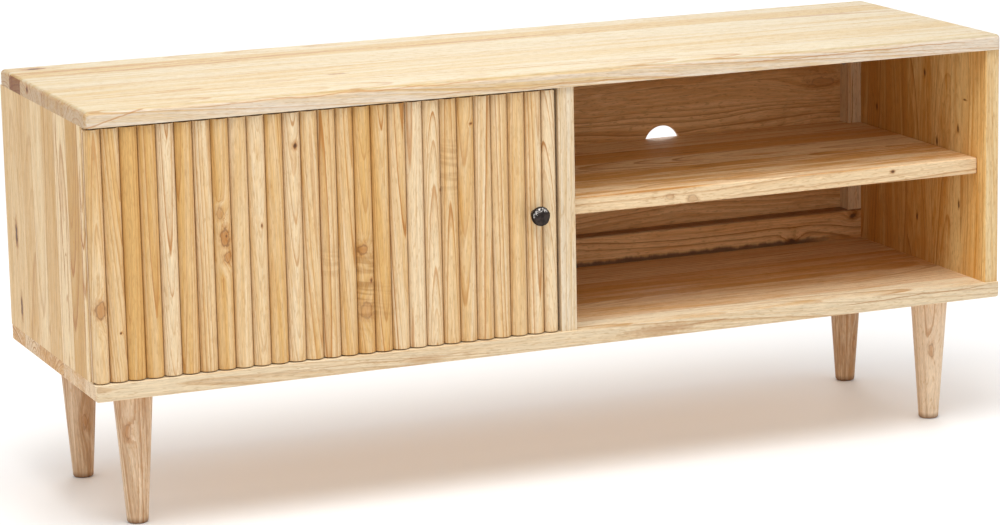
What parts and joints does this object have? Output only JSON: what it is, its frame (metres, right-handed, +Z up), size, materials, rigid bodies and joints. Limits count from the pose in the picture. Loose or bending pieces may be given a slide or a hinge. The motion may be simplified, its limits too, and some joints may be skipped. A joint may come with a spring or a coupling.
{
  "type": "tv stand",
  "caption": "Low media stand in edge-glued wood: a hinged door faced with half-round slats beside an open bay with a shelf, on round tapered legs.",
  "frame": {"origin": "bottom centre of the whole object's bounding box: on the floor, midway between the ends, and midway between the knob's front and the case's back edge", "axes": "+X to the viewer's right along the width, the door and the open bay face -Y, +Z up"},
  "size_m": [1.15, 0.368, 0.486],
  "materials": {
    "top_wood": "satin, edge-glued staves",
    "case_wood": "satin, edge-glued staves",
    "back_wood": "satin board",
    "batten_wood": "satin",
    "leg_wood": "satin, turned",
    "slat_wood": "satin, figured",
    "backing_wood": "satin",
    "dowel_wood": "bare beech",
    "knob_iron": "blackened, hammered",
    "bush_brass": "satin",
    "catch_plastic": "moulded",
    "magnet": "sintered",
    "steel": "zinc plated"
  },
  "bodies": {
    "case": {"back_panel": "back_wood", "back_screws": "steel", "batten_screws": "steel", "bottom_panel": "case_wood", "case_dowels": "dowel_wood", "catch_housing": "catch_plastic", "catch_magnet": "magnet", "catch_screws": "steel", "divider_panel": "case_wood", "hinge_bushes": "bush_brass", "left_side_panel": "case_wood", "leg_bolts": "steel", "leg_front_left": "leg_wood", "leg_front_right": "leg_wood", "leg_inserts": "steel", "leg_rear_left": "leg_wood", "leg_rear_right": "leg_wood", "rear_batten_divider_left": "batten_wood", "rear_batten_divider_right": "batten_wood", "rear_batten_left": "batten_wood", "rear_batten_right": "batten_wood", "rear_rail_left": "batten_wood", "rear_rail_right": "batten_wood", "right_side_panel": "case_wood", "shelf": "case_wood", "top_panel": "top_wood"},
    "door": {"door_backing": "backing_wood", "door_knob": "knob_iron", "door_slat_01": "slat_wood", "door_slat_02": "slat_wood", "door_slat_03": "slat_wood", "door_slat_04": "slat_wood", "door_slat_05": "slat_wood", "door_slat_06": "slat_wood", "door_slat_07": "slat_wood", "door_slat_08": "slat_wood", "door_slat_09": "slat_wood", "door_slat_10": "slat_wood", "door_slat_11": "slat_wood", "door_slat_12": "slat_wood", "door_slat_13": "slat_wood", "door_slat_14": "slat_wood", "door_slat_15": "slat_wood", "door_slat_16": "slat_wood", "door_slat_17": "slat_wood", "door_slat_18": "slat_wood", "door_slat_19": "slat_wood", "door_slat_20": "slat_wood", "door_slat_21": "slat_wood", "door_slat_22": "slat_wood", "door_slat_23": "slat_wood", "door_slat_24": "slat_wood", "door_slat_25": "slat_wood", "door_slat_26": "slat_wood", "door_slat_27": "slat_wood", "hinge_pins": "steel", "knob_screw": "steel", "strike_plate": "steel", "strike_screw": "steel"}
  },
  "joints": [
    {"name": "door_hinge", "type": "hinge", "parent": "case", "child": "door", "pos_m": [-0.566, -0.153, 0.32275], "axis": [0, 0, -1], "range_deg": [0, 110]}
  ]
}
